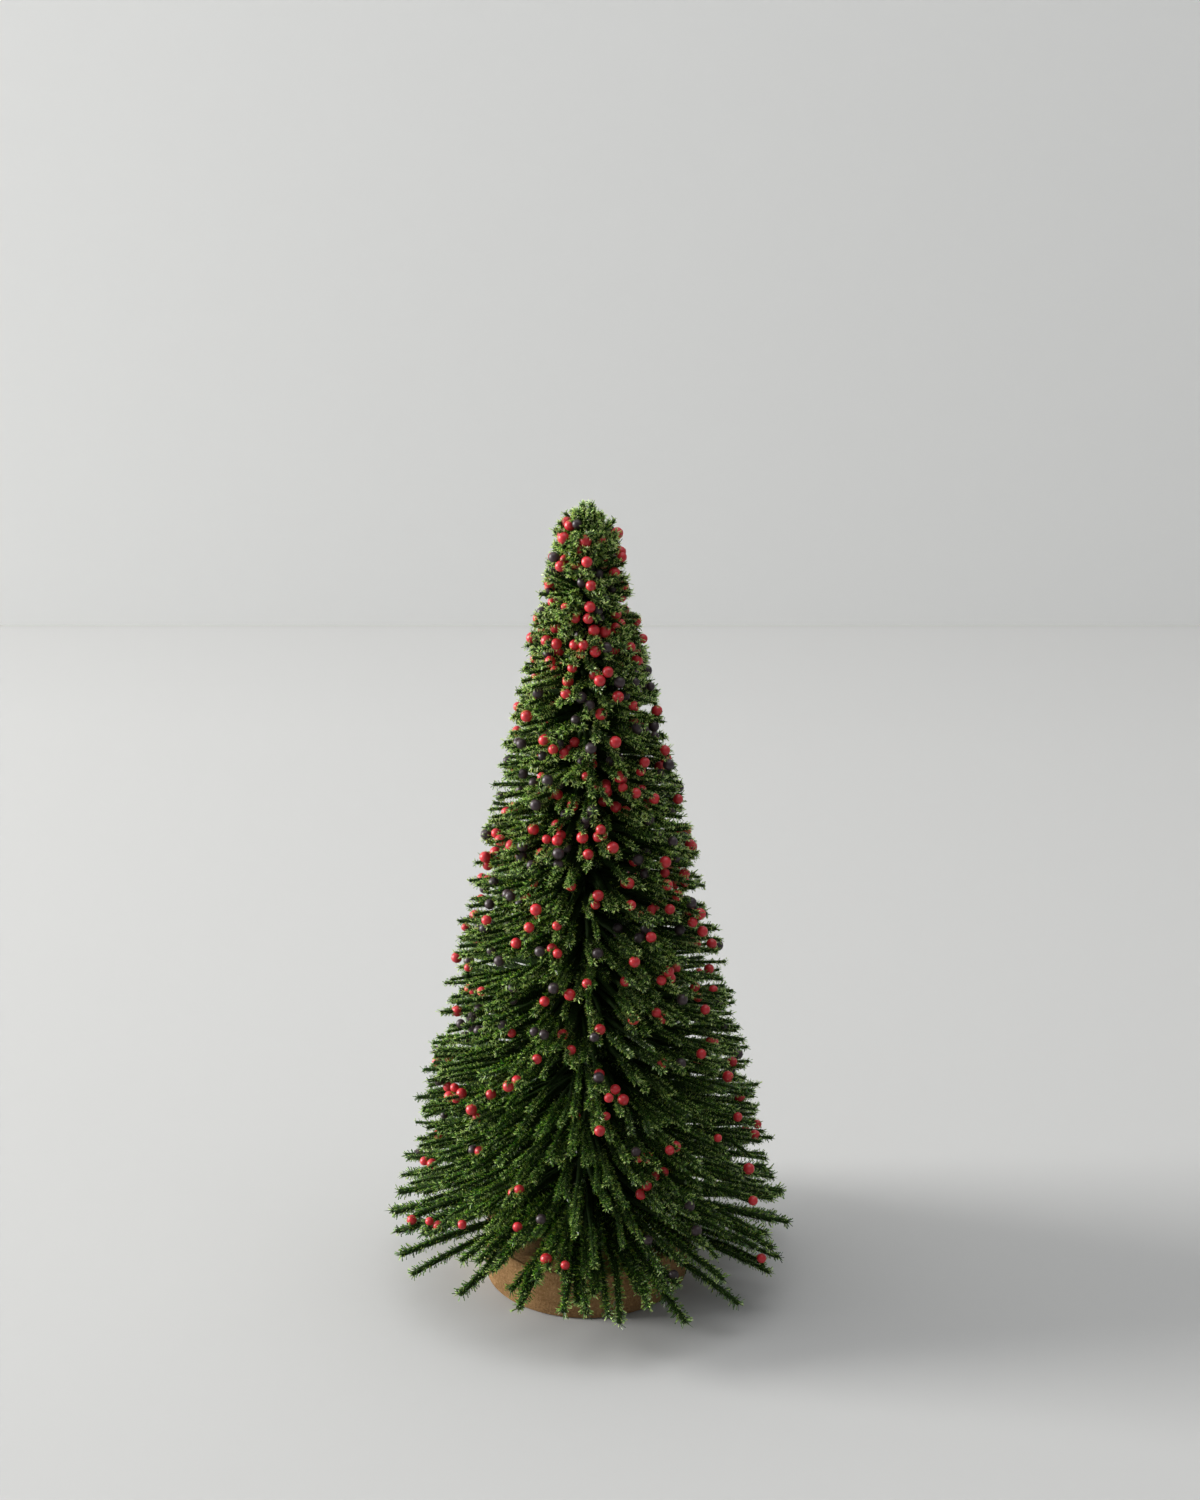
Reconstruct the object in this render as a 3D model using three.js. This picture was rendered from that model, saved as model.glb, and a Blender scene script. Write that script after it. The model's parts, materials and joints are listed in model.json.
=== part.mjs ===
// A table-top bottle-brush tree: green yarn strands clamped between two twisted stem wires and
// trimmed to a slim cone with a round top, standing in a felt-covered wooden base and dotted with
// small round berries. Millimetres, +Z up, origin on the floor at the middle of the base.
import * as THREE from "three";

// Overall form
const TREE_HEIGHT = 305;
const SKIRT_DIAMETER = 147;
const CROWN_DIAMETER = 21;
const BASE_DIAMETER = 77;
const BASE_HEIGHT = 18.6;

// Base: a wooden core dressed in felt
const FOOT_PAD_THICKNESS = 1.2;
const FOOT_PAD_INSET = 1.5;
const FELT_THICKNESS = 1;
const FELT_EDGE_ROUND = 0.7;
const BAND_LIFT = 0.4;
const WOOD_UNDER_BORE = 4;
const BASE_SIDES = 48;

// Stem: two twisted wires, held in the bore by a plug of glue
const WIRE_DIAMETER = 1.6;
const WIRE_SIDES = 5;
const WIRE_END_LENGTH = 0.8;
const TWIST_PITCH = 18;
const STEPS_PER_TURN = 8;
const GLUE_WALL = 1.5;
const GLUE_BEAD_HEIGHT = 1.4;
const GLUE_BEAD_LIP = 1.3;
const GLUE_SIDES = 24;

// Strands: yarn pressed flat between the wires, in pairs that leave the strip at both its edges
const TIERS = [
  { name: "bristles_skirt", pairs: 84 },
  { name: "bristles_lower", pairs: 66 },
  { name: "bristles_upper", pairs: 50 },
  { name: "bristles_crown", pairs: 37 },
];
const STRIP_THICKNESS = 1;
const STRIP_OVERHANG = 0.2;
const STRIP_BELOW_TIP = 14;
const LARGEST_STRIP_TURN = 21;
const SKIRT_CLEARANCE = 5;
const STRAND_WIDTH = 2.8;
const STRAND_SIDES = 3;
const FULL_WIDTH_LENGTH = 24;
const LEAST_WIDTH_SHARE = 0.55;
const LENGTH_SCATTER_SHARE = 0.03;
const DROOP_SHARE = 0.1;
const SKIRT_DROOP_SHARE = 0.16;
const LONG_STRAND_LENGTH = 61;
const LONG_STRAND_SHARES = [0.4, 0.72, 1];
const SHORT_STRAND_SHARES = [0.45, 1];

// Strand angles above level, in degrees: at the lowest strands, along the cone, and round the top
const SKIRT_ELEVATION = 1;
const CONE_ELEVATION = 7;
const CROWN_ELEVATION = 52;
const TIP_ELEVATION = 78;
const SKIRT_SHARE = 0.1;
const CROWN_SHARE = 0.14;
const ELEVATION_SCATTER = 2;
const AZIMUTH_SCATTER = 3;

// Berries
const BERRY_DIAMETER = 4;
const BERRY_SCATTER_SHARE = 0.1;
const BERRY_COUNT = 47;
const DARK_BERRY_EVERY = 3;
const BERRY_MERIDIANS = 6;
const BERRY_BANDS = 4;
const BERRY_SEAT_SHARE = 0.88;
const BERRY_SEAT_SCATTER_SHARE = 0.07;

// Faceted neighbours keep this distance
const SEAT_GAP = 0.3;

const UP = new THREE.Vector3(0, 0, 1);
const GOLDEN_ANGLE = Math.PI * (3 - Math.sqrt(5));

const yarn = { color: 0x2c5a2a, roughness: 0.9, metalness: 0 };
const felt = { color: 0x7a5531, roughness: 0.95, metalness: 0 };
const wood = { color: 0xb98f5e, roughness: 0.7, metalness: 0 };
const steel = { color: 0x6f7468, roughness: 0.4, metalness: 1 };
const glue = { color: 0xd8cfae, roughness: 0.3, metalness: 0 };
const redPaint = { color: 0xc0202c, roughness: 0.4, metalness: 0 };
const plumPaint = { color: 0x2c1c28, roughness: 0.4, metalness: 0 };

const tree = new THREE.Group();

function add(name, geometry, finish) {
  const mesh = new THREE.Mesh(geometry, new THREE.MeshStandardMaterial(finish));
  mesh.name = name;
  tree.add(mesh);
  return mesh;
}

// An evenly spread value from -1 to 1 that looks random from one number to the next
function scatter(order, turn) {
  return Math.sin(order * GOLDEN_ANGLE * turn + turn);
}

// A closed body built ring by ring. Rings run counter-clockwise seen from their far side.
class Body {
  constructor() {
    this.corners = [];
    this.faces = [];
  }

  ring(points) {
    return points.map((point) => this.corners.push(...point.toArray()) / 3 - 1);
  }

  face(...corners) {
    for (let last = 2; last < corners.length; last++) {
      this.faces.push(corners[0], corners[last - 1], corners[last]);
    }
  }

  wall(near, far) {
    near.forEach((corner, side) => {
      const next = (side + 1) % near.length;
      this.face(corner, near[next], far[next], far[side]);
    });
  }

  geometry() {
    const geometry = new THREE.BufferGeometry();
    geometry.setAttribute("position", new THREE.Float32BufferAttribute(this.corners, 3));
    geometry.setIndex(this.faces);
    return geometry;
  }
}

// A polygon square to a direction, with its first corner towards the given side
function polygon(centre, along, towards, radius, sides) {
  const first = towards.clone().addScaledVector(along, -towards.dot(along)).normalize();
  const second = along.clone().cross(first);
  return Array.from({ length: sides }, (_, side) => {
    const angle = (2 * Math.PI * side) / sides;
    const point = centre.clone().addScaledVector(first, radius * Math.cos(angle));
    return point.addScaledVector(second, radius * Math.sin(angle));
  });
}

// A body of revolution about Z from a closed profile of [radius, height] points
function turned(profile, sides) {
  const points = [...profile, profile[0]].map(([radius, height]) => new THREE.Vector2(radius, height));
  return new THREE.LatheGeometry(points, sides).rotateX(Math.PI / 2);
}

// Base
const baseRadius = BASE_DIAMETER / 2;
const coreRadius = baseRadius - FELT_THICKNESS - SEAT_GAP;
const coreTop = BASE_HEIGHT - FELT_THICKNESS;
const stripHalf = STRIP_THICKNESS / 2;
const wireRadius = WIRE_DIAMETER / 2;
const wireOffset = stripHalf + SEAT_GAP + wireRadius;
const stemReach = wireOffset + wireRadius;
const plugInner = stemReach + SEAT_GAP;
const plugOuter = plugInner + GLUE_WALL;
const boreRadius = plugOuter + SEAT_GAP;
const boreFloor = FOOT_PAD_THICKNESS + WOOD_UNDER_BORE;
const beadRadius = boreRadius + GLUE_BEAD_LIP;
const beadTop = BASE_HEIGHT + GLUE_BEAD_HEIGHT;

function footPad() {
  const radius = coreRadius - FOOT_PAD_INSET;
  const disc = new THREE.CylinderGeometry(radius, radius, FOOT_PAD_THICKNESS, BASE_SIDES);
  return disc.rotateX(Math.PI / 2).translate(0, 0, FOOT_PAD_THICKNESS / 2);
}

function woodenCore() {
  const profile = [
    [0, FOOT_PAD_THICKNESS],
    [coreRadius, FOOT_PAD_THICKNESS],
    [coreRadius, coreTop],
    [boreRadius, coreTop],
    [boreRadius, boreFloor],
    [0, boreFloor],
  ];
  return turned(profile, BASE_SIDES);
}

function feltBand() {
  const inner = baseRadius - FELT_THICKNESS;
  const rounding = FELT_EDGE_ROUND * (1 - Math.SQRT1_2);
  const profile = [
    [inner, BAND_LIFT],
    [baseRadius, BAND_LIFT],
    [baseRadius, BASE_HEIGHT - FELT_EDGE_ROUND],
    [baseRadius - rounding, BASE_HEIGHT - rounding],
    [baseRadius - FELT_EDGE_ROUND, BASE_HEIGHT],
    [inner, BASE_HEIGHT],
  ];
  return turned(profile, BASE_SIDES);
}

function feltTop() {
  const profile = [
    [boreRadius, coreTop],
    [coreRadius, coreTop],
    [coreRadius, BASE_HEIGHT],
    [boreRadius, BASE_HEIGHT],
  ];
  return turned(profile, BASE_SIDES);
}

function gluePlug() {
  const profile = [
    [plugInner, boreFloor],
    [plugOuter, boreFloor],
    [plugOuter, BASE_HEIGHT],
    [beadRadius, BASE_HEIGHT],
    [plugOuter, beadTop],
    [plugInner, beadTop],
  ];
  return turned(profile, GLUE_SIDES);
}

add("foot_pad", footPad(), felt);
add("wooden_base_core", woodenCore(), wood);
add("felt_side_band", feltBand(), felt);
add("felt_top_disc", feltTop(), felt);
add("glue_plug", gluePlug(), glue);

// Stem
const stripTop = TREE_HEIGHT - STRIP_BELOW_TIP;
const stripBottom = BASE_HEIGHT + SKIRT_CLEARANCE;
const stripLength = stripTop - stripBottom;
const stripReach = stemReach + STRIP_OVERHANG;
const stemBottom = boreFloor + SEAT_GAP;
const stemTop = stripTop + WIRE_END_LENGTH;

function twistAt(height) {
  return (2 * Math.PI * height) / TWIST_PITCH;
}

function outward(angle) {
  return new THREE.Vector3(Math.cos(angle), Math.sin(angle), 0);
}

// Each wire winds a quarter turn away from the strip's edges, so the strip lies between the two
function stemWire(side) {
  const body = new Body();
  const climb = TWIST_PITCH / (2 * Math.PI);
  const steps = Math.ceil(((stemTop - stemBottom) * STEPS_PER_TURN) / TWIST_PITCH);
  let below = null;
  for (let step = 0; step <= steps; step++) {
    const height = stemBottom + ((stemTop - stemBottom) * step) / steps;
    const out = outward(twistAt(height) + (side * Math.PI) / 2);
    const centre = out.clone().multiplyScalar(wireOffset).setZ(height);
    const winding = UP.clone().cross(out).multiplyScalar(wireOffset).addScaledVector(UP, climb).normalize();
    const along = step === 0 || step === steps ? UP : winding;
    const ring = body.ring(polygon(centre, along, out, wireRadius, WIRE_SIDES));
    if (below) body.wall(below, ring);
    else body.face(...ring.toReversed());
    below = ring;
  }
  body.face(...below);
  return body.geometry();
}

add("stem_wire_a", stemWire(1), steel);
add("stem_wire_b", stemWire(-1), steel);

// The trimmed surface: a cone, and the ball that rounds its top
const crownRadius = CROWN_DIAMETER / 2;
const crownHeight = TREE_HEIGHT - crownRadius;
const coneSlope = (SKIRT_DIAMETER / 2 - crownRadius) / (crownHeight - stripBottom);
const apexHeight = crownHeight + crownRadius / coneSlope;

// The length that brings a strand's drooping tip to the trimmed surface
function trimmedLength(rootRadius, rootHeight, elevation, droop) {
  const run = Math.cos(elevation);
  const rise = Math.sin(elevation) - droop;
  const toCone = (coneSlope * (apexHeight - rootHeight) - rootRadius) / (run + coneSlope * rise);
  if (rootHeight + toCone * rise < crownHeight) return toCone;
  const below = rootHeight - crownHeight;
  const scale = run * run + rise * rise;
  const half = (rootRadius * run + below * rise) / scale;
  const rest = (rootRadius * rootRadius + below * below - crownRadius * crownRadius) / scale;
  return Math.sqrt(half * half - rest) - half;
}

// Lowest strands hang, the next ones lift a little, and those round the top stand up steeply
function skirtAt(height) {
  return Math.max(0, 1 - (height - stripBottom) / (SKIRT_SHARE * stripLength));
}

function crownAt(height) {
  return Math.max(0, 1 - (stripTop - height) / (CROWN_SHARE * stripLength));
}

function elevationAt(height) {
  const skirtTurn = (SKIRT_ELEVATION - CONE_ELEVATION) * skirtAt(height);
  const crownTurn = (CROWN_ELEVATION - CONE_ELEVATION) * crownAt(height) ** 2;
  return CONE_ELEVATION + skirtTurn + crownTurn;
}

function droopAt(height) {
  return DROOP_SHARE + (SKIRT_DROOP_SHARE - DROOP_SHARE) * skirtAt(height);
}

function strandPath(order, rootRadius, rootHeight, azimuth, elevation) {
  const lift = THREE.MathUtils.degToRad(elevation);
  const droop = droopAt(rootHeight);
  const trimmed = trimmedLength(rootRadius, rootHeight, lift, droop);
  const length = trimmed * (1 + LENGTH_SCATTER_SHARE * scatter(order, 3));
  const out = outward(azimuth);
  const heading = out.clone().multiplyScalar(Math.cos(lift)).addScaledVector(UP, Math.sin(lift));
  const root = out.clone().multiplyScalar(rootRadius).setZ(rootHeight);
  const width = STRAND_WIDTH * THREE.MathUtils.clamp(length / FULL_WIDTH_LENGTH, LEAST_WIDTH_SHARE, 1);
  return {
    shares: length > LONG_STRAND_LENGTH ? LONG_STRAND_SHARES : SHORT_STRAND_SHARES,
    reach: width / (2 * Math.sin(Math.PI / STRAND_SIDES)),
    pointAt: (share) => {
      const sag = -droop * length * share * share;
      return root.clone().addScaledVector(heading, length * share).addScaledVector(UP, sag);
    },
    alongAt: (share) => heading.clone().addScaledVector(UP, -2 * droop * share).normalize(),
  };
}

const strandPaths = [];

function growStrand(body, root, path) {
  strandPaths.push(path);
  let near = root;
  for (const share of path.shares) {
    const corners = polygon(path.pointAt(share), path.alongAt(share), UP, path.reach, STRAND_SIDES);
    const far = body.ring(corners);
    body.wall(near, far);
    near = far;
  }
  body.face(...near);
}

function stripCorners(height) {
  const out = outward(twistAt(height)).multiplyScalar(stripReach);
  const across = UP.clone().cross(out).setLength(stripHalf);
  const middle = UP.clone().multiplyScalar(height);
  return [
    middle.clone().add(out).sub(across),
    middle.clone().add(out).add(across),
    middle.clone().sub(out).add(across),
    middle.clone().sub(out).sub(across),
  ];
}

// One step of the strip up to a new ring. A strand's root may fill half of each edge's quad.
function stripStep(body, below, height, grow) {
  const above = body.ring(stripCorners(height));
  for (const edge of [0, 1]) {
    const [first, second, third] = [2 * edge, 2 * edge + 1, (2 * edge + 2) % 4];
    body.face(below[second], below[third], above[third], above[second]);
    body.face(below[second], above[second], above[first]);
    const root = [above[first], below[first], below[second]];
    if (grow) grow(edge, root);
    else body.face(...root);
  }
  return above;
}

// A slice of the twisted strip with its pairs of strands
function bristleTier(tier) {
  const body = new Body();
  const tierHeight = stripLength / TIERS.length;
  const floor = stripBottom + tierHeight * tier + (tier > 0 ? SEAT_GAP : 0);
  const ceiling = stripBottom + tierHeight * (tier + 1);
  const { pairs } = TIERS[tier];
  const rise = (ceiling - floor) / pairs;
  const steps = Math.ceil(twistAt(rise) / THREE.MathUtils.degToRad(LARGEST_STRIP_TURN));
  let below = body.ring(stripCorners(floor));
  body.face(...below.toReversed());
  for (let pair = 0; pair < pairs; pair++) {
    const height = floor + rise * (pair + 0.5 / steps);
    const grow = (edge, root) => {
      const order = strandPaths.length;
      const swing = THREE.MathUtils.degToRad(AZIMUTH_SCATTER) * scatter(order, 1);
      const azimuth = twistAt(height) + edge * Math.PI + swing;
      const elevation = elevationAt(height) + ELEVATION_SCATTER * scatter(order, 2);
      growStrand(body, root, strandPath(order, stripReach, height, azimuth, elevation));
    };
    for (let step = 1; step <= steps; step++) {
      below = stripStep(body, below, floor + rise * (pair + step / steps), step === 1 ? grow : null);
    }
  }
  if (tier < TIERS.length - 1) {
    body.face(...below);
    return body.geometry();
  }
  // Two strands stand on the strip's end and close the top of the tree
  const [middle] = body.ring([UP.clone().multiplyScalar(ceiling)]);
  for (const edge of [0, 1]) {
    const [first, second, third] = [2 * edge, 2 * edge + 1, (2 * edge + 2) % 4];
    const azimuth = twistAt(ceiling) + edge * Math.PI;
    const path = strandPath(strandPaths.length, stripReach / 2, ceiling, azimuth, TIP_ELEVATION);
    growStrand(body, [middle, below[first], below[second]], path);
    body.face(below[second], below[third], middle);
  }
  return body.geometry();
}

TIERS.forEach(({ name }, tier) => add(name, bristleTier(tier), yarn));

// Berries: each is glued on top of a strand, near the strand's tip
const strandLines = strandPaths.map(({ shares, pointAt }) =>
  shares.map((share, index) => new THREE.Line3(pointAt(index > 0 ? shares[index - 1] : 0), pointAt(share))),
);

function distanceToStrand(point, index) {
  const nearest = new THREE.Vector3();
  const distances = strandLines[index].map((line) => {
    line.closestPointToPoint(point, true, nearest);
    return nearest.distanceTo(point);
  });
  return Math.min(...distances);
}

function berrySeat(order, index) {
  const path = strandPaths[index];
  const radius = (BERRY_DIAMETER / 2) * (1 + BERRY_SCATTER_SHARE * scatter(order, 2));
  const share = BERRY_SEAT_SHARE + BERRY_SEAT_SCATTER_SHARE * scatter(order, 1);
  const along = path.alongAt(share);
  const above = UP.clone().addScaledVector(along, -along.z).normalize();
  return { radius, centre: path.pointAt(share).addScaledVector(above, path.reach + SEAT_GAP + radius) };
}

function isClear(seat, taken) {
  const strandsClear = strandPaths.every((path, index) => {
    const least = path.reach + seat.radius + SEAT_GAP / 2;
    return distanceToStrand(seat.centre, index) > least;
  });
  const berriesClear = taken.every((berry) => {
    return berry.centre.distanceTo(seat.centre) > berry.radius + seat.radius + SEAT_GAP;
  });
  return strandsClear && berriesClear;
}

function chooseSeats() {
  const seats = [];
  for (let order = 0; order < BERRY_COUNT; order++) {
    const first = Math.floor(((order + 0.5) / BERRY_COUNT) * strandPaths.length);
    for (let shift = 0; shift < strandPaths.length; shift++) {
      const seat = berrySeat(order, (first + shift) % strandPaths.length);
      if (isClear(seat, seats)) {
        seats.push(seat);
        break;
      }
    }
  }
  return seats;
}

const berryCounts = { red_berry: 0, plum_berry: 0 };

chooseSeats().forEach(({ radius, centre }, order) => {
  const isDark = order % DARK_BERRY_EVERY === 1;
  const kind = isDark ? "plum_berry" : "red_berry";
  berryCounts[kind] += 1;
  const name = `${kind}_${String(berryCounts[kind]).padStart(2, "0")}`;
  const ball = new THREE.SphereGeometry(radius, BERRY_MERIDIANS, BERRY_BANDS);
  add(name, ball, isDark ? plumPaint : redPaint).position.copy(centre);
});

export default tree;
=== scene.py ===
"""Dresses a bottle-brush tree: yarn strands with their fibres, berries, felted base, stem and stage."""

import json
import math
import random

import bmesh
import bpy
from bpy.props import FloatProperty, FloatVectorProperty, IntProperty, PointerProperty
from bpy.types import Operator, Panel, PropertyGroup
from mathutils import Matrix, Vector
from mathutils.kdtree import KDTree

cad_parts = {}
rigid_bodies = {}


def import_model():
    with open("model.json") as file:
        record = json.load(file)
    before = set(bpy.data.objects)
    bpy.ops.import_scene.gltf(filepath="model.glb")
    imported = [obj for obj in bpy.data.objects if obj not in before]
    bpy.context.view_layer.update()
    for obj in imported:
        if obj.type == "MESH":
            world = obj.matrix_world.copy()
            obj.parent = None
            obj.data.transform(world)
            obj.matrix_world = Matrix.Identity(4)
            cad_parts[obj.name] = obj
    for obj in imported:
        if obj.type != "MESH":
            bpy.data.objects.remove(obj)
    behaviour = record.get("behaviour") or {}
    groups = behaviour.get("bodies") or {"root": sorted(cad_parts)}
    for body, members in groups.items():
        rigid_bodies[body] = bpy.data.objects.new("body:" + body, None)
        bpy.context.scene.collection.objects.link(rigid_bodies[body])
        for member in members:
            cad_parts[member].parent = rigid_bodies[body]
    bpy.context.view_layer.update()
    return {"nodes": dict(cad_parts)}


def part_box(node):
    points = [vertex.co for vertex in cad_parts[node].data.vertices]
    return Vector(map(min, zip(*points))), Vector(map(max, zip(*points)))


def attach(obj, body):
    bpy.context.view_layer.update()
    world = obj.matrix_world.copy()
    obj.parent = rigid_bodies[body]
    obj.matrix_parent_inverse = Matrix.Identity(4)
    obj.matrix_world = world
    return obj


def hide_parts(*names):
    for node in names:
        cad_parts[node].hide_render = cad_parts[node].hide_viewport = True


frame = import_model()

bl_info = {
    "name": "Bottle-brush Tree",
    "version": (1, 0, 0),
    "blender": (4, 5, 0),
    "location": "View3D > Sidebar > Tree",
    "description": "Dresses a bottle-brush tree with yarn strands, berries and a felted base",
    "category": "Object",
}

MM = 0.001
UP = Vector((0, 0, 1))
FULL_TURN = 2 * math.pi
GOLDEN_ANGLE = math.pi * (3 - math.sqrt(5))

# The strands of the solid model, which the yarn strands follow. Elevations and scatters are in degrees
TREE_HEIGHT = 305 * MM
SKIRT_DIAMETER = 147 * MM
CROWN_DIAMETER = 21 * MM
BASE_HEIGHT = 18.6 * MM
TWIST_PITCH = 18 * MM
TIER_NODES = ("bristles_skirt", "bristles_lower", "bristles_upper", "bristles_crown")
TIER_PAIRS = (84, 66, 50, 37)
STRIP_REACH = 2.6 * MM
STRIP_BELOW_TIP = 14 * MM
LARGEST_STRIP_TURN = math.radians(21)
SKIRT_CLEARANCE = 5 * MM
LENGTH_SCATTER_SHARE = 0.03
DROOP_SHARE = 0.1
SKIRT_DROOP_SHARE = 0.16
SKIRT_ELEVATION = 1
CONE_ELEVATION = 7
CROWN_ELEVATION = 52
TIP_ELEVATION = 78
SKIRT_SHARE = 0.1
CROWN_SHARE = 0.14
ELEVATION_SCATTER = 2
AZIMUTH_SCATTER = 3
SEAT_GAP = 0.3 * MM

STRIP_TOP = TREE_HEIGHT - STRIP_BELOW_TIP
STRIP_BOTTOM = BASE_HEIGHT + SKIRT_CLEARANCE
STRIP_LENGTH = STRIP_TOP - STRIP_BOTTOM
TIER_HEIGHT = STRIP_LENGTH / len(TIER_NODES)
CROWN_RADIUS = CROWN_DIAMETER / 2
CROWN_HEIGHT = TREE_HEIGHT - CROWN_RADIUS
CONE_SLOPE = (SKIRT_DIAMETER / 2 - CROWN_RADIUS) / (CROWN_HEIGHT - STRIP_BOTTOM)
APEX_HEIGHT = CROWN_HEIGHT + CROWN_RADIUS / CONE_SLOPE

# Strands between those of the solid model, for each tier, and how unevenly they turn and rise, in degrees
STRAND_SEED = 12
EXTRA_STRANDS = (270, 300, 320, 360)
EXTRA_SWING = (10, 20, 40, 90)
EXTRA_LIFT = (2.2, 3, 5.5, 10)
EXTRA_START = 8 * MM
LENGTH_LOSS_SHARE = 0.06
LENGTH_GAIN_SHARE = 0.03
LEAN_SHARE = 0.035

# More strands low on the skirt, and clumps of them: which way a clump points, and how many it holds
COMPANIONS = 4
COMPANION_HEIGHT = 16 * MM
CLUMPS = ((-90, 4), (-73, 3), (-113, 2), (-22, 2), (35, 3), (80, 2), (128, 3))
CLUMP_SCATTER = 2.5
CLUMP_SHARE = 0.93

# Short strands inside the tree, low down and for each tier
UNDERGROWTH = 70
UNDERGROWTH_RISE = 9 * MM
UNDERGROWTH_ELEVATIONS = (2, 12)
UNDERGROWTH_SHARES = (0.3, 0.5)
INNER_STRANDS = (110, 130, 80, 0)
INNER_SHARES = (0.35, 0.68)

# Strands round the tip, most of them steep
TIP_STRANDS = 70
TIP_STRAND_DROP = 12 * MM
STEEPEST_TIP_STRAND = 88
TIP_STRAND_SPREAD = 70
TIP_STRAND_POWER = 1.4
TIP_SLIMMING_SHARE = 0.24

# How strands bend, sideways, in waves and to hooked ends, how low they may hang, and how thick they are
SWAY_SHARE = 0.07
WAVE_REACH = 1.8 * MM
WAVE_ANGLE = 5
LEAST_WAVE = 0.1
HOOKED_SHARE = 0.12
HOOK_START_SHARE = 0.82
HOOK_DROP = 5 * MM
HOOK_DROP_SHARES = (0.4, 1)
LOWEST_TIP = 8 * MM
GIRTH_SHARES = (0.82, 1.22)
LOW_GIRTH = 1.45
PATH_STEPS = 8

# Fibres cover the outer part of a strand, so far in for each tier, and the whole of the lowest ones
FIBRED_DEPTHS = (28 * MM, 20 * MM, 15 * MM, 12 * MM)
OPEN_UNDER_HEIGHT = 40 * MM
FIBRES_A_PIECE = 47000
FIBRE_FADE_SHARE = 0.1
FIBRE_TILTS = (math.radians(32), math.radians(80))
FIBRE_WIDTH_SHARES = (0.35, 0.65)
FIBRE_LENGTH_SHARES = (0.65, 1.25)
FIBRE_TIP_SHARE = 0.7
GIRTH_POWER = 0.7

# The star of fibres on a strand's tip
STAR_REACH = 2.5 * MM
STAR_TILTS = (math.radians(15), math.radians(88))

# The thread under the fibres: its radius at the tip as a share of its thickness, and where it turns bare
CORE_SIDES = 5
CORE_TIP_SHARE = 0.3
CORE_FADE_SHARE = 0.15

# What the recipes read of each strand
STRAND_LAYERS = ("along", "left", "tone", "bare", "girth")

# Paleness runs from 0, deep green, to 1, pale green: of whole strands, and what their tips add as a painted
# highlight and the crown adds as painted light
STRAND_PALENESS = 0.1
CROWN_PAINTED_LIGHT = 0.48
PALENESS_SCATTER = 0.09
PALEST_STRAND = 0.999
FIBRE_PALENESS_SCATTER = 0.46
TIP_PAINTED_HIGHLIGHT = 0.45
TIP_HIGHLIGHT_REACH = 8 * MM

# A berry of the solid model that stands off the yarn by this much gets a tuft up to this share of its way
TUFT_GAP = 1 * MM
TUFT_SHARE = 0.72

# How far in from a strand's end its berries sit, how far one may stand past the end, and how near two come
BERRY_SEED = 7
BERRY_DEPTH = 6.5 * MM
BERRY_OVERHANG = 0.6 * MM
BERRY_ROLL = 0.9
BERRY_SIZE_SHARES = (0.86, 1.12)
BERRY_TRIES = 3
BERRY_TOUCH_SHARE = 0.96
SHORTEST_WITH_BERRIES = 6 * MM
YARN_PATH_STEPS = 24

# A berry that hangs on the very end of a strand sinks into it
END_REACH = 0.1 * MM
END_SINK = 0.2 * MM

# Berries side by side: their sizes, how far out one may stand, and how many share their neighbour's paint
NEIGHBOUR_SIZE_SHARES = (0.86, 1.1)
NEIGHBOUR_OUT_SHARES = (-0.5, 0.1)
LIKE_SHARE = 0.7
LARGEST_CLUSTER = 4

# How many berries a strand attracts, by the height that its tip stays under
BERRY_WEIGHTS = (
    (35 * MM, 0.11), (75 * MM, 0.2), (110 * MM, 0.42), (150 * MM, 0.8),
    (195 * MM, 1.65), (240 * MM, 1.05), (296 * MM, 1.8), (2 * TREE_HEIGHT, 0),
)

# Swatches: the fibres and berries of a piece share a map of this many swatches a side
FIBRE_SWATCHES = 32
BERRY_SWATCHES = 8
BERRY_SWATCH_SEED = 3
SWATCH_STEP = 5
SWATCH_END = FIBRE_SWATCHES - 0.001
SWATCH_MARGIN_SHARE = 0.08
BAKE_MAP = "OFBake"

# The felt on the base
BASE_SIDES = 128
BORE_RADIUS = 4.5 * MM
FELT_THICKNESS = 1 * MM
FELT_EDGE_ROUND = 0.7 * MM
FELT_EDGE_STEPS = 4
FELT_FOOT_CHAMFER = 0.2 * MM
DISC_CHAMFER = 0.15 * MM
MERGE_DISTANCE = 0.001 * MM

# The felt's nap, which is thinner on top of the base and clears the floor by a share of its length
NAP_SEED = 5
TOP_NAP_SHARE = 0.3
NAP_FLOOR_SHARE = 1.4
NAP_LEANS = (math.radians(10), math.radians(80))
NAP_WIDTHS = (0.03 * MM, 0.06 * MM)
NAP_LENGTH_SHARES = (0.5, 1.3)

# Camera, floor and wall as in the photograph
CAMERA_PLACE = (0.0052, -1.006, 0.603)
CAMERA_TILT = math.radians(68.81)
CAMERA_LENS = 72
CAMERA_SENSOR = 36
STAGE_LEFT = -2
STAGE_RIGHT = 4
STAGE_DEPTH = 4
WALL_DISTANCE = 0.765
WALL_HEIGHT = 3
# A thin strip along the wall's foot, a little darker than the floor: painted shade in the joint between floor
# and wall.
JOINT_WIDTH = 3.6 * MM
JOINT_RISE = 0.1 * MM

# The lamps: place, target, size and colour of each
WINDOW_LAMP = ((-3.4, 0.25, 1.0), (0, 0, 0.12), (1.3, 1.8), (1, 0.99, 0.97))
CEILING_LAMP = ((0, 0, 2.4), (0, 0, 0), (3.0, 1.4), (0.98, 0.99, 1))


def scatter(order, turn):
    """An evenly spread value from -1 to 1 that looks random from one number to the next."""
    return math.sin(order * GOLDEN_ANGLE * turn + turn)


def twist_at(height):
    """How far the twisted stem has turned at a height."""
    return FULL_TURN * height / TWIST_PITCH


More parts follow.
